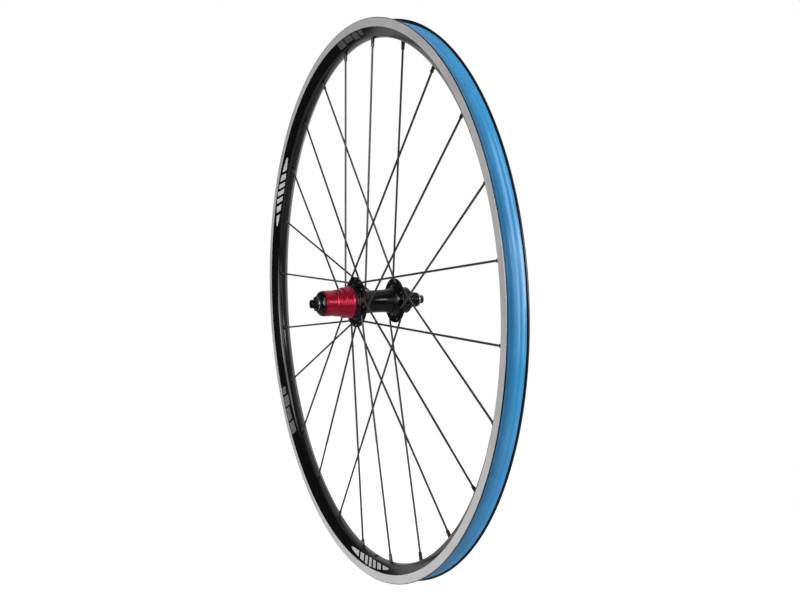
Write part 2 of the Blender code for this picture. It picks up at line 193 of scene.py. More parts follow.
# Light: the brightness of the studio's walls by angle round +Z from +X, the share of it that falls on
# matt surfaces, round panels (around, above, full to, gone at, level), and far lights (around, above,
# angle filled, power, mirrored in gloss)
SURROUND = (
    (0, 0.15),
    (30, 0.15),
    (48, 0.35),
    (95, 0.5),
    (150, 0.7),
    (156, 0.5),
    (191, 0.5),
    (195, 0.05),
    (325, 0.05),
    (342, 0.2),
    (360, 0.15),
)
FILL_SHARE = 0.25
PANELS = ((343, 21, 8, 14, 1.3), (80, 45, 17, 26, 0.25))
SOFTBOXES = {
    "left_side": (294, 10, 24, 1.25, True),
    "front_left_low": (315, 5, 40, 1.25, True),
    "front_left_high": (315, 38, 40, 1.2, True),
    "front_right_low": (0, 5, 40, 0.45, True),
    "front_right_strip": (24, 18, 13, 0.35, True),
    "overhead": (245, 58, 30, 0.5, False),
}


# ---------------------------------------------------------------- mesh helpers


def polar(radius, angle, y=0.0):
    turn = math.radians(angle)
    return Vector((radius * math.sin(turn), y, radius * math.cos(turn)))


def bezier(start, control, end, share):
    """A point of the quadratic curve between two points, of any number of values each."""
    rest = 1 - share
    return tuple(
        rest * rest * a + 2 * rest * share * b + share * share * c
        for a, b, c in zip(start, control, end)
    )


def rounded(outline, radius, steps=3):
    """A closed outline with each corner cut back by up to the radius and rounded."""
    points = []
    for i, corner in enumerate(outline):
        for other in (outline[i - 1], outline[(i + 1) % len(outline)]):
            length = math.dist(corner, other)
            share = min(radius, 0.42 * length) / length
            points.append(tuple(a + (b - a) * share for a, b in zip(corner, other)))
    smooth = []
    for i, corner in enumerate(outline):
        start, end = points[2 * i], points[2 * i + 1]
        smooth += [bezier(start, corner, end, step / steps) for step in range(steps + 1)]
    return smooth


def mirrored(half):
    """A closed outline from its half at y >= 0, listed from the mid-plane out and back."""
    return half + [(-y, radius) for y, radius in reversed(half) if y > 0]


def flipped(outline):
    return [(-y, radius) for y, radius in reversed(outline)]


def mesh_object(name, verts, faces):
    mesh = bpy.data.meshes.new(name)
    mesh.from_pydata([Vector(v) * MM for v in verts], [], faces)
    mesh.update()
    obj = bpy.data.objects.new(name, mesh)
    bpy.context.scene.collection.objects.link(obj)
    return obj


def turned(name, outline, segments, shape=None):
    """A ring turned about the axle from a closed outline. shape moves a point of it at an angle."""
    verts = []
    count = len(outline)
    for step in range(segments):
        angle = 360 * step / segments
        for point in outline:
            y, radius = shape(point, angle) if shape else point
            verts.append(polar(radius, angle, y))
    faces = []
    for step in range(segments):
        here, there = step * count, (step + 1) % segments * count
        for i in range(count):
            j = (i + 1) % count
            faces.append((here + i, here + j, there + j, there + i))
    return mesh_object(name, verts, faces)


def tube(bm, path, radii, sides, flats=None):
    """Adds a closed tube along a path. Where flats holds a distance, that ring is cut to a square."""
    rings = []
    across = None
    for i, point in enumerate(path):
        ahead = (path[min(i + 1, len(path) - 1)] - path[max(i - 1, 0)]).normalized()
        if across is None:
            across = ahead.orthogonal()
        across = (across - ahead * across.dot(ahead)).normalized()
        up = ahead.cross(across)
        ring = []
        for side in range(sides):
            turn = math.tau * side / sides
            reach = radii[i]
            if flats and flats[i]:
                off_flat = (turn + math.pi / 4) % (math.pi / 2) - math.pi / 4
                reach = min(reach, flats[i] / math.cos(off_flat))
            offset = across * math.cos(turn) + up * math.sin(turn)
            ring.append(bm.verts.new((point + offset * reach) * MM))
        rings.append(ring)
    for low, high in zip(rings, rings[1:]):
        for side in range(sides):
            bm.faces.new((low[side - 1], low[side], high[side], high[side - 1]))
    bm.faces.new(rings[0])
    bm.faces.new(rings[-1])


def prism(bm, corners, y_low, y_high):
    low = [bm.verts.new(Vector((x, y_low, z)) * MM) for x, z in corners]
    high = [bm.verts.new(Vector((x, y_high, z)) * MM) for x, z in corners]
    bm.faces.new(low)
    bm.faces.new(high)
    for i in range(len(corners)):
        bm.faces.new((low[i - 1], low[i], high[i], high[i - 1]))


def from_bmesh(name, bm):
    bmesh.ops.recalc_face_normals(bm, faces=bm.faces)
    mesh = bpy.data.meshes.new(name)
    bm.to_mesh(mesh)
    bm.free()
    obj = bpy.data.objects.new(name, mesh)
    bpy.context.scene.collection.objects.link(obj)
    return obj


def outward(obj):
    """Turns the faces of a closed mesh outwards."""
    bm = bmesh.new()
    bm.from_mesh(obj.data)
    bmesh.ops.recalc_face_normals(bm, faces=bm.faces)
    bm.to_mesh(obj.data)
    bm.free()


def cut(obj, cutter):
    """Cuts the cutter out of the object's mesh, and removes the cutter."""
    outward(obj)
    modifier = obj.modifiers.new("cut", "BOOLEAN")
    modifier.operation = "DIFFERENCE"
    modifier.solver = "EXACT"
    modifier.object = cutter
    evaluated = obj.evaluated_get(bpy.context.evaluated_depsgraph_get())
    mesh = bpy.data.meshes.new_from_object(evaluated)
    obj.modifiers.clear()
    obj.data = mesh
    bpy.data.objects.remove(cutter)


def place(obj, finish, body, slot, *nodes):
    """Gives a finished mesh its shading, material, body and the CAD nodes that it replaces. The slot is
    not used.
    """
    outward(obj)
    obj.data.name = obj.name
    obj.data.shade_smooth()
    obj.data.set_sharp_from_angle(angle=math.radians(SHARP_ANGLE))
    obj.data.materials.clear()
    obj.data.materials.append(finish)
    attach(obj, body)
    if nodes:
        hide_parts(*nodes)
    return obj


# ---------------------------------------------------------------- finishes


def add_node(tree, kind, inputs=(), **settings):
    """A node with its settings, and its inputs set to values or linked to other nodes' sockets."""
    made = tree.nodes.new("ShaderNode" + kind)
    for key, value in settings.items():
        setattr(made, key, value)
    for key, value in dict(inputs).items():
        if isinstance(value, bpy.types.NodeSocket):
            tree.links.new(value, made.inputs[key])
        else:
            made.inputs[key].default_value = value
    return made


def ramp(tree, value, low, high, to_low=0.0, to_high=1.0):
    """A value mapped from one range to another and held inside it."""
    inputs = {0: value, 1: low, 2: high, 3: to_low, 4: to_high}
    return add_node(tree, "MapRange", inputs).outputs[0]


def mixed(tree, share, first, second):
    inputs = {0: share, 6: first, 7: second}
    return add_node(tree, "Mix", inputs, data_type="RGBA").outputs[2]


def grey(value, tint=(1.0, 1.0, 1.0)):
    return tuple(value * part for part in tint) + (1.0,)


def lathe_place(tree, place):
    """Coordinates that hold distance from the axle and place along it, for marks that run round."""
    parts = add_node(tree, "SeparateXYZ", {0: place}).outputs
    flat = add_node(tree, "CombineXYZ", {0: parts[0], 2: parts[2]}).outputs[0]
    away = add_node(tree, "VectorMath", {0: flat}, operation="LENGTH").outputs["Value"]
    return add_node(tree, "CombineXYZ", {0: away, 1: parts[1]}).outputs[0]


def noise_height(tree, where, scale, detail):
    return add_node(tree, "TexNoise", {"Vector": where, "Scale": scale, "Detail": detail}).outputs[0]


def finish(
    name,
    colour,
    roughness,
    metallic=0.0,
    second=None,
    mottle=60.0,
    grain=0.0,
    grain_scale=9000.0,
    round_grain=True,
    peel=0.0,
    worn=None,
    coat=0.0,
    specular=0.5,
    roughness_swing=0.3,
):
    """A material with uneven colour, smudged roughness, machining or moulding marks, and worn edges.

    grain is the depth of marks that run round the axle, or of a fine grit where round_grain is off.
    peel is the depth of a soft unevenness. Both are in millimetres. worn is the colour of rubbed edges.
    """
    made = bpy.data.materials.new(name)
    made.use_nodes = True
    tree = made.node_tree
    shader = tree.nodes["Principled BSDF"]
    where = add_node(tree, "TexCoord").outputs["Object"]
    broad = ramp(tree, noise_height(tree, where, mottle, 4.0), 0.35, 0.65)
    smudge = noise_height(tree, where, 23.0, 6.0)
    darker = tuple(part * 0.82 for part in colour[:3]) + (1.0,)
    base = mixed(tree, broad, colour, second or darker)
    swing = roughness * roughness_swing
    rough = ramp(tree, smudge, 0.3, 0.7, roughness - swing, roughness + swing)
    if worn:
        edge = ramp(tree, add_node(tree, "NewGeometry").outputs["Pointiness"], 0.53, 0.6)
        scuff = ramp(tree, noise_height(tree, where, 420.0, 5.0), 0.42, 0.62)
        rubbed = add_node(tree, "Math", {0: edge, 1: scuff}, operation="MULTIPLY").outputs[0]
        base = mixed(tree, rubbed, base, worn)
    tree.links.new(base, shader.inputs["Base Color"])
    tree.links.new(rough, shader.inputs["Roughness"])
    shader.inputs["Metallic"].default_value = metallic
    shader.inputs["Specular IOR Level"].default_value = specular
    shader.inputs["Coat Weight"].default_value = coat
    shader.inputs["Coat Roughness"].default_value = 0.12
    normal = None
    if peel:
        normal = bump(tree, noise_height(tree, where, 700.0, 2.0), peel, normal)
    if grain:
        if round_grain:
            where = lathe_place(tree, where)
        normal = bump(tree, noise_height(tree, where, grain_scale, 2.0), grain, normal)
    if normal:
        tree.links.new(normal, shader.inputs["Normal"])
    return made


def bump(tree, height, depth, under):
    inputs = {"Height": height, "Distance": depth * MM, "Strength": 1.0}
    if under:
        inputs["Normal"] = under
    return add_node(tree, "Bump", inputs).outputs[0]


def make_finishes():
    return {
        "rim_black": finish("rim_black", grey(0.002), 0.16, worn=grey(0.03), peel=0.002, grain=0.001),
        "rim_track": finish(
            "rim_track",
            grey(0.68, (1.0, 0.99, 0.985)),
            0.36,
            metallic=0.45,
            second=grey(0.6, (1.0, 0.985, 0.98)),
            mottle=26.0,
            grain=0.006,
            grain_scale=5200.0,
        ),
        "decal_white": finish(
            "decal_white",
            grey(0.5, (0.98, 0.98, 1.0)),
            0.42,
            second=grey(0.36),
            mottle=260.0,
            peel=0.002,
        ),
        "decal_grey": finish("decal_grey", grey(0.1), 0.5, second=grey(0.055), mottle=260.0, peel=0.002),
        "tape_blue": finish(
            "tape_blue",
            (0.036, 0.225, 0.46, 1.0),
            0.2,
            second=(0.042, 0.255, 0.51, 1.0),
            mottle=35.0,
            peel=0.0006,
        ),
        "spoke_black": finish(
            "spoke_black",
            grey(0.03),
            0.32,
            metallic=0.15,
            second=grey(0.02),
            mottle=300.0,
            grain=0.002,
            grain_scale=2500.0,
            round_grain=False,
        ),
        "nipple_black": finish(
            "nipple_black",
            grey(0.022),
            0.3,
            metallic=0.5,
            mottle=400.0,
            worn=grey(0.3),
            grain=0.003,
            grain_scale=3000.0,
        ),
        "black_anodised": finish(
            "black_anodised",
            grey(0.002),
            0.13,
            worn=grey(0.1),
            grain=0.002,
            grain_scale=4200.0,
            specular=0.28,
        ),
        "red_anodised": finish(
            "red_anodised",
            (0.42, 0.002, 0.034, 1.0),
            0.27,
            metallic=0.75,
            second=(0.38, 0.0015, 0.03, 1.0),
            coat=0.35,
            roughness_swing=0.15,
        ),
        "silver_alloy": finish(
            "silver_alloy",
            grey(0.55, (1.0, 0.99, 0.97)),
            0.24,
            metallic=1.0,
            grain=0.005,
            grain_scale=5000.0,
        ),
        "axle_steel": finish("axle_steel", grey(0.07), 0.2, metallic=1.0, worn=grey(0.4), grain=0.003),
        "bearing_steel": finish("bearing_steel", grey(0.42), 0.2, metallic=1.0, grain=0.002),
        "ball_and_cage": finish(
            "ball_and_cage",
            (0.5, 0.34, 0.12, 1.0),
            0.34,
            metallic=0.9,
            grain=0.003,
            round_grain=False,
            worn=grey(0.6),
        ),
        "seal_rubber": finish(
            "seal_rubber",
            grey(0.018),
            0.72,
            peel=0.01,
            grain=0.006,
            round_grain=False,
        ),
    }


# ---------------------------------------------------------------- rim


def sidewall(share, lift=0.0):
    """A point of the left sidewall, from the track's inner edge to the crease, lifted off it."""
    edge = (RIM_HALF_WIDTH, TRACK_RADII[0])
    control = (8.6, 300.9)
    y, radius = bezier(edge, control, CREASE, share)
    ahead_y, ahead_radius = bezier(edge, control, CREASE, share + 0.01)
    along = Vector((ahead_y - y, ahead_radius - radius)).normalized()
    return y - along.y * lift, radius + along.x * lift


def make_rim(finishes):
    hook = RIM_HALF_WIDTH - 1.45
    recess = RIM_HALF_WIDTH - TRACK_DEPTH
    half = [
        *((y, BED_RADIUS + rise) for y, rise in BED_SHAPE),
        (hook, BED_RADIUS + BED_SHAPE[-1][1] + 0.6),
        (hook - 0.25, RIM_RADIUS - 1.1),
        (hook - 0.1, RIM_RADIUS - 0.35),
        (hook + 0.3, RIM_RADIUS),
        (hook + 0.9, RIM_RADIUS),
        (RIM_HALF_WIDTH - 0.25, RIM_RADIUS - 0.25),
        (RIM_HALF_WIDTH, RIM_RADIUS - 0.6),
        (recess, TRACK_RADII[1]),
        (recess, TRACK_RADII[0] + 0.15),
    ]
    half += [sidewall(step / 14) for step in range(15)]
    crown, control = (0.0, CROWN_RADIUS), (2.8, CROWN_RADIUS + 0.1)
    half += [bezier(CREASE, control, crown, step / 8) for step in range(1, 9)]
    rim = turned("rim_body", mirrored(half), RIM_SEGMENTS)
    half_chamber = [
        (0.0, CHAMBER_TOP),
        (10.0, CHAMBER_TOP + 1.6),
        (10.2, TRACK_RADII[0] - 0.1),
        (6.9, 301.8),
        (4.3, CHAMBER_BOTTOM + 0.8),
        (3.4, CHAMBER_BOTTOM + 0.1),
        (0.0, CHAMBER_BOTTOM),
    ]
    cut(rim, turned("rim_chamber", mirrored(half_chamber), RIM_SEGMENTS))
    cut(rim, rim_holes())
    place(rim, finishes["rim_black"], "wheel", "rim_black", "rim")
    inner, outer = TRACK_RADII
    steps = 10
    face = []
    for step in range(steps + 1):
        share = step / steps
        hollow = 0.07 * math.sin(math.pi * share)
        radius = outer - 0.14 + (inner - outer + 0.28) * share
        face.append((RIM_HALF_WIDTH - 0.01 - hollow, radius))
    band = [(recess + 0.01, outer - 0.02), *face, (recess + 0.01, inner + 0.18)]
    for name, outline in (("left_brake_track", band), ("drive_brake_track", flipped(band))):
        track = turned(name, outline, RIM_SEGMENTS)
        place(track, finishes["rim_track"], "wheel", "rim_track")


def rim_holes():
    """One cutter for the nipple holes and the valve hole, each with a small bevel outside."""
    bm = bmesh.new()
    starts = (CROWN_RADIUS - 1, CROWN_RADIUS, CROWN_RADIUS + 0.5)
    size = NIPPLE_HOLE_RADIUS
    for number in range(1, SPOKE_COUNT + 1):
        along = polar(1.0, spoke_angle(number))
        path = [along * radius for radius in (*starts, 299.5)]
        tube(bm, path, (size + 0.8, size + 0.3, size, size), 24)
    along, size = polar(1.0, VALVE_ANGLE), VALVE_HOLE_RADIUS
    path = [along * radius for radius in (*starts, RIM_RADIUS - 2)]
    tube(bm, path, (size + 0.9, size + 0.4, size, size), 40)
    return from_bmesh("rim_holes", bm)


def bed_lift(y):
    """How far the rim's bed, and the tape in it, is above its middle: a well, a shoulder and a curl."""
    places, rises = zip(*BED_SHAPE)
    return float(np.interp(abs(y), places, rises))


def tape_shape(point, angle):
    """A point of the tape, whose edges wander, with dimples over the spoke holes and lapped ends."""
    y, radius = point
    turn = math.radians(angle)
    around = Vector((math.sin(turn), math.cos(turn), 0.0))
    wander = noise.noise(around * 9) * 0.22 + noise.noise(around * 31) * 0.1
    from_spoke = (angle - FIRST_SPOKE_ANGLE + SPOKE_PITCH / 2) % SPOKE_PITCH - SPOKE_PITCH / 2
    away = math.hypot(math.radians(from_spoke) * radius, y)
    depth, reach = TAPE_DIMPLE
    sink = depth * math.exp(-((away / reach) ** 4))
    ripple = 0.06 * noise.noise(Vector((around.x * 55, around.y * 55, y * 0.25)))
    start, end = TAPE_OVERLAP
    lap = TAPE_LAP if start < angle < end else 0.0
    edge = abs(y) / TAPE_HALF_WIDTH
    side = -1
    if y > 0:
        side = 1
        middle, reach, pulled_in = TAPE_LOW_EDGE
        low = y - pulled_in * math.exp(-(((angle - middle) / reach) ** 2)) * edge**3
        radius += bed_lift(low) - bed_lift(y)
        y = low
    return y + wander * edge * side * 0.6, radius - sink + ripple * (1 - edge) + lap


def make_tape(finishes):
    across = [TAPE_HALF_WIDTH * (2 * step / TAPE_STEPS - 1) for step in range(TAPE_STEPS + 1)]
    under = [(y, BED_RADIUS + TAPE_GAP + bed_lift(y)) for y in across]
    over = [(y * 0.995, radius + TAPE_THICKNESS) for y, radius in reversed(under)]
    tape = turned("rim_tape_strip", under + over, TAPE_SEGMENTS, tape_shape)
    bm = bmesh.new()
    out = polar(1.0, VALVE_ANGLE)
    tube(bm, [out * (BED_RADIUS - 2), out * RIM_RADIUS], [VALVE_HOLE_RADIUS] * 2, 40)
    cut(tape, from_bmesh("tape_valve_hole", bm))
    place(tape, finishes["tape_blue"], "wheel", "tape_blue", "rim_tape")


def film_patch(bm, side, angle_span, share_span, slant, taper):
    """Adds a thin patch on a sidewall. slant leans it, and taper(angle) narrows it about its middle."""
    columns, rows = 16, 8
    grid = []
    middle = sum(share_span) / 2
    for column in range(columns + 1):
        angle = angle_span[0] + (angle_span[1] - angle_span[0]) * column / columns
        line = []
        for row in range(rows + 1):
            share = share_span[0] + (share_span[1] - share_span[0]) * row / rows
            share = middle + (share - middle) * taper(angle)
            y, radius = sidewall(share, FILM)
            corner = polar(radius, angle + slant * (share - middle), side * y)
            line.append(bm.verts.new(corner * MM))
        grid.append(line)
    for left, right in zip(grid, grid[1:]):
        for row in range(rows):
            bm.faces.new((left[row], left[row + 1], right[row + 1], right[row]))


def make_graphics(finishes):
    """Plain slanted bars that narrow towards both ends, and dull blocks between them."""
    for side, label in ((-1, "drive"), (1, "left")):
        for repeat in range(GRAPHIC_REPEATS):
            turn = 360 / GRAPHIC_REPEATS * repeat
            middle, half = LIGHT_GRAPHIC
            middle += turn

            def taper(angle, middle=middle, half=half):
                return max(1 - abs(angle - middle) / half, 0.0) ** 0.55

            bm = bmesh.new()
            for low, high in LIGHT_BARS:
                film_patch(bm, side, (middle + low, middle + high), (0.1, 0.9), 2.2, taper)
            light = from_bmesh(f"{label}_light_graphic_{repeat + 1}", bm)
            place(light, finishes["decal_white"], "wheel", "decal_white")
            middle, half = DULL_GRAPHIC
            middle += turn
            bm = bmesh.new()
            for low, high, wide in DULL_BLOCKS:
                span = (middle + low * half, middle + high * half)
                film_patch(bm, side, span, (0.06, 0.06 + wide), 0.6, lambda angle: 1.0)
            dull = from_bmesh(f"{label}_dull_graphic_{repeat + 1}", bm)
            place(dull, finishes["decal_grey"], "wheel", "decal_grey")


# ---------------------------------------------------------------- spokes


def spoke_angle(number):
    return FIRST_SPOKE_ANGLE + SPOKE_PITCH * (number - 1)


def spoke_ends(number):
    """The hub hole, the side of the flange that the elbow is on, and the rim point of a spoke."""
    angle = spoke_angle(number)
    if number % 3 == 1:
        flange, hub_angle, side = DRIVE_FLANGE, angle - DRIVE_LEAD, -1
    elif number % 3 == 2:
        flange, hub_angle, side = DRIVE_FLANGE, angle + DRIVE_LEAD, 1
    elif number % 6 == 3:
        flange, hub_angle, side = LEFT_FLANGE, angle - LEFT_LEAD, 1
    else:
        flange, hub_angle, side = LEFT_FLANGE, angle + LEFT_LEAD, -1
    rim_point = polar((CROWN_RADIUS + CHAMBER_BOTTOM) / 2, angle)
    return polar(flange[1], hub_angle, flange[0]), side, rim_point


def make_spoke(number, finishes):
    hole, side, rim_point = spoke_ends(number)
    out = Vector((0, side, 0))
    elbow = hole + out * ELBOW_OFFSET
    along = (rim_point - elbow).normalized()
    bend = out.angle(along)
    inward = (along - out * along.dot(out)).normalized()
    centre = elbow - out * ELBOW_RADIUS * math.tan(bend / 2) + inward * ELBOW_RADIUS
    head = hole - out * (FLANGE_HALF + 0.3)
    path = [head - out * back for back, _ in SPOKE_HEAD] + [head + out * 0.15]
    radii = [radius for _, radius in SPOKE_HEAD] + [SPOKE_RADIUS]
    for step in range(ELBOW_STEPS + 1):
        turn = bend * step / ELBOW_STEPS
        path.append(centre + (out * math.sin(turn) - inward * math.cos(turn)) * ELBOW_RADIUS)
        radii.append(SPOKE_RADIUS)
    entry = rim_point + along * (NIPPLE_START - rim_point.length)
    path.append(entry + along * 2)
    radii.append(SPOKE_RADIUS)
    bm = bmesh.new()
    tube(bm, path, radii, SPOKE_SIDES)
    spoke = from_bmesh(f"spoke_wire_{number:02d}", bm)
    node = f"spoke_{number:02d}"
    place(spoke, finishes["spoke_black"], "wheel", "spoke_black", node)
    reach = NIPPLE_END - NIPPLE_START
    rings = (
        (0.0, SPOKE_RADIUS + 0.05, 0.0),
        (0.02, 1.3, 0.0),
        (0.5, 1.85, NIPPLE_FLAT),
        (0.8, NIPPLE_RADIUS, NIPPLE_FLAT),
        (5.2, NIPPLE_RADIUS, NIPPLE_FLAT),
        (5.6, NIPPLE_RADIUS, 0.0),
        (reach - 3.4, NIPPLE_RADIUS, 0.0),
        (reach - 2.8, 2.7, 0.0),
        (reach - 1.0, 2.75, 0.0),
        (reach, 2.3, 0.0),
    )
    distances, radii, flats = zip(*rings)
    bm = bmesh.new()
    tube(bm, [entry + along * distance for distance in distances], radii, NIPPLE_SIDES, flats)
    nipple = from_bmesh(f"nipple_{number:02d}", bm)
    place(nipple, finishes["nipple_black"], "wheel", "nipple_black", node)


# ---------------------------------------------------------------- hub


def flange_holes():
    """One cutter for the spoke holes of both flanges, with a countersink on each face."""
    bm = bmesh.new()
    for plane, circle, count, first in (DRIVE_FLANGE, LEFT_FLANGE):
        for i in range(count):
            centre = polar(circle, first + 360 / count * i, plane)
            path = [centre + Vector((0, offset, 0)) for offset in (-1.7, -0.95, 0.95, 1.7)]
            tube(bm, path, [2.1, 1.3, 1.3, 2.1], 20)
    return from_bmesh("flange_holes", bm)


def make_hub_shell(finishes):
    drive, left = DRIVE_FLANGE[0], LEFT_FLANGE[0]
    outer = [
        (-20.7, 17.3),
        (-20.7, 18.6),
        (drive - 1.9, 19.4),
        (drive - FLANGE_HALF, 20.6),
        (drive - FLANGE_HALF, DRIVE_FLANGE_RADIUS),
        (drive + FLANGE_HALF, DRIVE_FLANGE_RADIUS),
        (drive + FLANGE_HALF, 21.8),
        (-12.2, 18.6),
        (-8.4, 15.9),
        (-3.0, 14.0),
        (3.0, 13.2),
        (9.0, 13.0),
        (18.0, 13.2),
        (26.0, 13.9),
        (30.6, 15.3),
        (left - FLANGE_HALF, 18.2),
        (left - FLANGE_HALF, LEFT_FLANGE_RADIUS),
        (left + FLANGE_HALF, LEFT_FLANGE_RADIUS),
        (left + FLANGE_HALF, 17.6),
        (37.0, 16.1),
        (39.4, 16.0),
        (40.2, 15.3),
        (46.4, 15.2),
        (46.6, 14.9),
        (47.2, 14.9),
        (47.4, 15.2),
        (49.4, 15.1),
        (50.5, 14.2),
        (50.5, 13.3),
    ]
    inside = [
        (41.2, 13.3),
        (41.2, 10.5),
        (-6.4, 10.5),
        (-6.4, 13.3),
        (-14.3, 13.3),
        (-14.3, 17.3),
    ]
    shell = turned("hub_shell_body", rounded(outer, 0.55, 4) + inside, HUB_SEGMENTS)
    cut(shell, flange_holes())
    place(shell, finishes["black_anodised"], "wheel", "black_anodised", "hub_shell")


def spline_shape(point, angle):
    """Shallow lengthwise grooves in the freehub's outer part, with a fade at their ends."""
    y, radius = point
    low, high = SPLINE_SPAN
    if radius < 14.0 or not low - 0.4 < y < high + 0.4:
        return y, radius
    fade = min(max(min(y - low, high - y) / 0.5 + 0.5, 0.0), 1.0)
    place_in = (angle * SPLINES / 360) % 1.0
    edge = min(place_in, 1 - place_in)
    groove = min(max((SPLINE_SHARE / 2 - edge) * 22, 0.0), 1.0)
    return y, radius - SPLINE_DEPTH * groove * fade


def make_freehub(finishes):
    low, high = SPLINE_SPAN
    outer = [
        (-56.0, 12.3),
        (-56.0, 14.6),
        (-42.4, 14.6),
        (-41.9, 15.3),
        (-41.1, 15.3),
        (-40.7, 14.1),
        (-38.7, 14.1),
        (-38.3, 15.5),
        (-33.4, 15.6),
        (-32.7, 17.6),
        (-24.6, 17.6),
        (-24.2, 18.4),
        (-21.3, 18.4),
        (-21.3, 13.6),
    ]
    smooth = rounded(outer, 0.3, 3)
    spline_rows = [(low + (high - low) * step / 12, 14.6) for step in range(13)]
    before = [p for p in smooth if p[0] < low]
    after = [p for p in smooth if p[0] >= low]
    inside = [
        (-16.1, 13.6),
        (-16.1, 12.5),
        (-14.9, 12.5),
        (-14.9, 13.3),
        (-14.6, 13.0),
        (-14.6, 9.4),
        (-22.6, 9.4),
        (-22.6, 10.8),
        (-50.7, 10.8),
        (-50.7, 12.3),
    ]
    outline = before + spline_rows + after + inside
    body = turned("freehub_shell", outline, FREEHUB_SEGMENTS, spline_shape)
    bm = bmesh.new()
    for number in range(3):
        turn = Matrix.Rotation(math.radians(120 * number), 2)
        prism(bm, [turn @ Vector(corner) for corner in POCKET_CORNERS], *POCKET_SPAN)
    cut(body, from_bmesh("pawl_pockets", bm))
    place(body, finishes["red_anodised"], "freehub", "red_anodised", "freehub_body")
    ring = [
        (-61.8, 9.2),
        (-61.8, 10.0),
        (-60.6, 12.2),
        (-59.0, 13.6),
        (-57.6, 14.3),
        (-56.3, 14.3),
        (-56.3, 9.2),
    ]
    end_ring = turned("freehub_cone_ring", rounded(ring, 0.8, 5), RING_SEGMENTS)
    place(end_ring, finishes["black_anodised"], "freehub", "black_anodised", "freehub_end_ring")


def knurl(face, inner, outer, direction):
    """A shape that gives a flat end face fine radial teeth between two radii."""

    def shape(point, angle):
        y, radius = point
        if abs(y - face) < 0.05 and inner < radius < outer:
            tooth = abs((angle / KNURL_PITCH) % 1.0 - 0.5) * 2
            y += direction * KNURL_DEPTH * tooth
        return y, radius

    return shape


def make_ends(finishes):
    black, silver = finishes["black_anodised"], finishes["silver_alloy"]
    face = -LEFT_FACE
    cap = [
        (DRIVE_END, SKEWER_BORE),
        (DRIVE_END, NOSE_RADIUS),
        (face, NOSE_RADIUS),
        (face, 5.4),
        (face, 7.8),
        (face + 0.1, 8.3),
        (-63.8, 8.3),
        (-63.8, 6.0),
        (-61.7, 6.0),
        (-61.7, 4.7),
        (-64.5, 4.7),
        (-64.5, SKEWER_BORE),
    ]
    teeth = knurl(face, 5.2, 7.9, 1)
    drive_cap = turned("drive_axle_cap", rounded(cap, 0.35), KNURLED_SEGMENTS, teeth)
    place(drive_cap, black, "axle", "black_anodised", "drive_end_cap")
    ring = [(-63.5, 6.3), (-63.5, 7.9), (-61.7, 7.9), (-61.7, 6.3)]
    drive_ring = turned("drive_lock_ring", rounded(ring, 0.25), RING_SEGMENTS)
    place(drive_ring, silver, "axle", "silver_alloy", "drive_locknut")
    collar = [
        (48.8, SHAFT_BORE),
        (48.8, 8.9),
        (51.8, 8.9),
        (52.4, 10.4),
        (54.7, 10.4),
        (55.3, 8.7),
        (56.2, 8.6),
        (56.4, 8.25),
        (56.9, 8.25),
        (57.1, 8.6),
        (58.2, 8.6),
        (58.4, 8.1),
        (59.0, 8.1),
        (59.2, 8.6),
        (62.9, 8.6),
        (62.9, 5.25),
        (61.3, 5.25),
        (61.3, SHAFT_BORE),
    ]
    left_cap = turned("left_axle_cap", rounded(collar, 0.3), RING_SEGMENTS)
    place(left_cap, black, "axle", "black_anodised", "left_end_cap")
    nut = [
        (63.2, 5.25),
        (63.2, 7.6),
        (LEFT_FACE, 7.6),
        (LEFT_FACE, 7.2),
        (LEFT_FACE, 5.6),
        (LEFT_FACE, 5.25),
    ]
    teeth = knurl(LEFT_FACE, 5.5, 7.3, -1)
    left_ring = turned("left_lock_ring", rounded(nut, 0.2), KNURLED_SEGMENTS, teeth)
    place(left_ring, silver, "axle", "silver_alloy", "left_locknut")
    dust = [
        (48.9, 9.3),
        (48.9, 13.0),
        (50.2, 13.0),
        (50.2, 12.2),
        (49.9, 12.0),
        (49.9, 11.2),
        (50.2, 11.0),
        (50.3, 9.3),
    ]
    dust_cap = turned("left_dust_ring", rounded(dust, 0.15), RING_SEGMENTS)
    place(dust_cap, black, "wheel", "black_anodised", "left_dust_cap")
    shaft = [
        (-64.2, SKEWER_BORE),
        (-64.2, 4.4),
        (-61.4, 4.4),
        (-61.4, 7.4),
        (-6.4, 7.4),
        (-6.4, 9.0),
        (41.2, 9.0),
        (41.2, 7.4),
        (61.0, 7.4),
        (61.0, NOSE_RADIUS),
        (AXLE_END, NOSE_RADIUS),
        (AXLE_END, SKEWER_BORE),
    ]
    axle = turned("axle_tube", rounded(shaft, 0.4), RING_SEGMENTS)
    place(axle, finishes["axle_steel"], "axle", "silver_alloy", "axle")


def dress_nodes(finishes):
    """Gives each CAD node that stays in view its finish."""
    for name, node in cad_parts.items():
        if node.hide_render:
            continue
        if "race" in name or name.startswith("pawl") or name == "ratchet_ring":
            made = finishes["bearing_steel"]
        elif "ball_cage" in name:
            made = finishes["ball_and_cage"]
        elif "seal" in name:
            made = finishes["seal_rubber"]
        elif name == "drive_spacer":
            made = finishes["black_anodised"]
        else:
            made = finishes["silver_alloy"]
        node.data.materials.clear()
        node.data.materials.append(made)


# ---------------------------------------------------------------- stage, light and camera


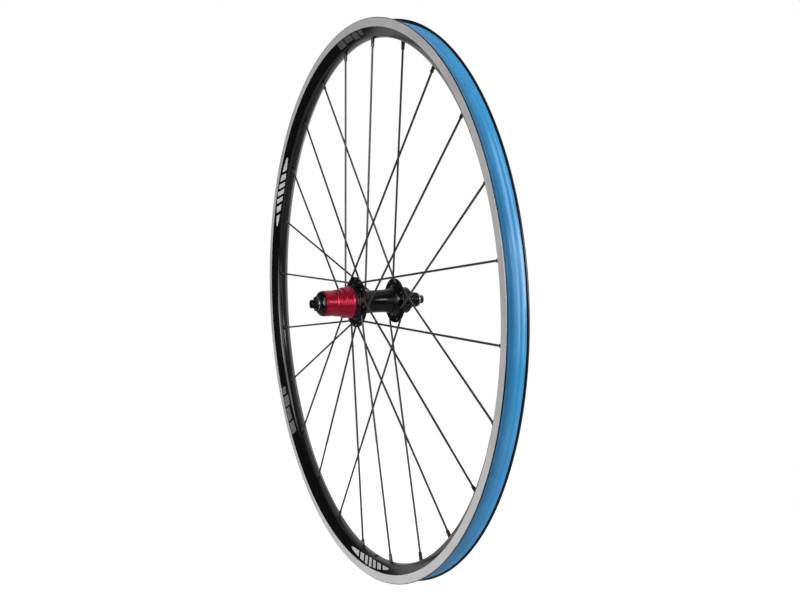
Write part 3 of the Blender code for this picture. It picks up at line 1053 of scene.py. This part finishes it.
def make_stage():
    """A wide pale floor under the rim's lowest point."""
    floor_z = CAD_BOX[0].z / MM
    rim = [polar(FLOOR_RADIUS / MM, 360 * step / FLOOR_SIDES) for step in range(FLOOR_SIDES)]
    corners = [(p.x, p.z, floor_z) for p in rim]
    floor = mesh_object("studio_floor", corners, [tuple(range(FLOOR_SIDES))])
    paper = bpy.data.materials.new("studio_paper")
    paper.use_nodes = True
    tree = paper.node_tree
    shader = tree.nodes["Principled BSDF"]
    where = add_node(tree, "TexCoord").outputs["Object"]
    fibre = noise_height(tree, where, 3.0, 5.0)
    tree.links.new(mixed(tree, fibre, grey(0.72), grey(0.69)), shader.inputs["Base Color"])
    shader.inputs["Roughness"].default_value = 0.9
    shader.inputs["Emission Color"].default_value = grey(1.0)
    seen = add_node(tree, "LightPath").outputs["Is Camera Ray"]
    glow = add_node(tree, "Math", {0: seen, 1: FLOOR_GLOW}, operation="MULTIPLY").outputs[0]
    tree.links.new(glow, shader.inputs["Emission Strength"])
    floor.data.materials.append(paper)


def aim(around, above):
    """A direction from an angle round +Z, measured from +X, and an angle above the floor."""
    turn, rise = math.radians(around), math.radians(above)
    return Vector((math.cos(rise) * math.cos(turn), math.cos(rise) * math.sin(turn), math.sin(rise)))


def make_world():
    """White to the camera, and uneven walls with soft round panels to every other ray."""
    world = bpy.data.worlds.new("studio_world")
    world.use_nodes = True
    tree = world.node_tree
    where = add_node(tree, "TexCoord").outputs["Generated"]
    parts = add_node(tree, "SeparateXYZ", {0: where}).outputs
    turn = add_node(tree, "Math", {0: parts[1], 1: parts[0]}, operation="ARCTAN2").outputs[0]
    share = add_node(tree, "Math", {0: turn, 1: math.tau}, operation="DIVIDE").outputs[0]
    share = add_node(tree, "Math", {0: share, 1: 1.0}, operation="FLOORED_MODULO").outputs[0]
    walls = add_node(tree, "ValToRGB", {0: share})
    stops = walls.color_ramp.elements
    while len(stops) < len(SURROUND):
        stops.new(0.5)
    for stop, (around, level) in zip(stops, SURROUND):
        stop.position = around / 360
        stop.color = grey(level)
    total = walls.outputs[0]
    for around, above, inner, outer, level in PANELS:
        inputs = {0: where, 1: aim(around, above)}
        nearness = add_node(tree, "VectorMath", inputs, operation="DOT_PRODUCT").outputs["Value"]
        edge, full = math.cos(math.radians(outer)), math.cos(math.radians(inner))
        glow = ramp(tree, nearness, edge, full, 0.0, level)
        total = add_node(tree, "Math", {0: total, 1: glow}, operation="ADD").outputs[0]
    path = add_node(tree, "LightPath").outputs
    fill = ramp(tree, path["Is Diffuse Ray"], 0.0, 1.0, 1.0, FILL_SHARE)
    total = add_node(tree, "Math", {0: total, 1: fill}, operation="MULTIPLY").outputs[0]
    light = tree.nodes["Background"]
    tree.links.new(total, light.inputs["Strength"])
    light.inputs["Color"].default_value = grey(1.0)
    behind = add_node(tree, "Background", {"Color": grey(1.0)}).outputs[0]
    inputs = {0: path["Is Camera Ray"], 1: light.outputs[0], 2: behind}
    both = add_node(tree, "MixShader", inputs).outputs[0]
    tree.links.new(both, tree.nodes["World Output"].inputs["Surface"])
    bpy.context.scene.world = world


def softbox(name, around, above, spread, power, mirrored_in_gloss):
    """A far light from a direction, with the angle that it fills."""
    data = bpy.data.lights.new(name, "SUN")
    data.energy = power
    data.angle = math.radians(spread)
    light = bpy.data.objects.new(name, data)
    light.rotation_euler = aim(around, above).to_track_quat("Z", "Y").to_euler()
    light.visible_glossy = mirrored_in_gloss
    bpy.context.scene.collection.objects.link(light)


def make_light_and_camera():
    scene = bpy.context.scene
    make_world()
    for name, values in SOFTBOXES.items():
        softbox(name, *values)
    scene.view_settings.view_transform = "Standard"
    data = bpy.data.cameras.new("photo_camera")
    data.lens = CAMERA_LENS
    camera = bpy.data.objects.new("photo_camera", data)
    camera.location = CAMERA_PLACE
    camera.rotation_euler = Vector(CAMERA_LOOK).to_track_quat("-Z", "Y").to_euler()
    scene.collection.objects.link(camera)
    scene.camera = camera


def main():
    finishes = make_finishes()
    make_rim(finishes)
    make_tape(finishes)
    make_graphics(finishes)
    for number in range(1, SPOKE_COUNT + 1):
        make_spoke(number, finishes)
    make_hub_shell(finishes)
    make_freehub(finishes)
    make_ends(finishes)
    dress_nodes(finishes)
    make_stage()
    make_light_and_camera()
    bpy.context.view_layer.update()


main()
